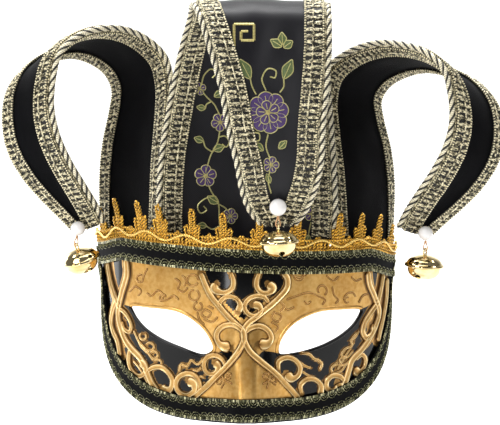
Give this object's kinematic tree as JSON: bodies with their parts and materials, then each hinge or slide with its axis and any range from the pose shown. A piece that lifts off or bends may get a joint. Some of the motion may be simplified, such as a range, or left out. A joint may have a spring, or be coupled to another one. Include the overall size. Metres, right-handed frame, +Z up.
{
  "type": "jester mask",
  "caption": "Half mask with a moulded shell, raised scrolls, braided rim, lace crown and folded cloth horns that end in pearls and jingle bells.",
  "frame": {"origin": "inside face of the shell at the bridge of the nose, where the mask sits on the wearer", "axes": "+X across the face to the viewer's right, +Y from the mask towards the wearer, +Z up"},
  "size_m": [0.2843, 0.1101, 0.2408],
  "materials": {
    "shell_paint": "antique gold paint and black lacquer over a moulded shell, raised scrolls in pale gold",
    "black_braid": "black woven braid with silver and olive thread loops along both margins",
    "gold_lace": "gold metallic bullion lace",
    "black_velvet": "black velvet",
    "brocade": "black satin with gold, olive and purple woven flowers",
    "silver_braid": "ribbed ivory and silver metallic braid with black flecks",
    "twist_cord": "cord twisted from ivory, silver and black strands",
    "pearl": "white pearl bead",
    "gold_wire": "fine gold wire",
    "bell_brass": "polished pale brass"
  },
  "bodies": {
    "root": {"mask_shell": "shell_paint", "brow_braid": "black_braid", "rim_braid": "black_braid", "crown_lace": "gold_lace", "horn_left": "black_velvet", "horn_right": "black_velvet", "horn_centre": "brocade", "edge_braid_left_front": "silver_braid", "edge_braid_left_back": "silver_braid", "edge_braid_right_front": "silver_braid", "edge_braid_right_back": "silver_braid", "edge_braid_centre_front": "silver_braid", "edge_braid_centre_back": "silver_braid", "edge_cord_left_front": "twist_cord", "edge_cord_right_front": "twist_cord", "edge_cord_centre_front": "twist_cord", "edge_cord_centre_back": "twist_cord", "pearl_left": "pearl", "pearl_right": "pearl", "pearl_centre": "pearl", "wire_left": "gold_wire", "wire_right": "gold_wire", "wire_centre": "gold_wire", "bell_left": "bell_brass", "bell_right": "bell_brass", "bell_centre": "bell_brass"}
  },
  "joints": []
}
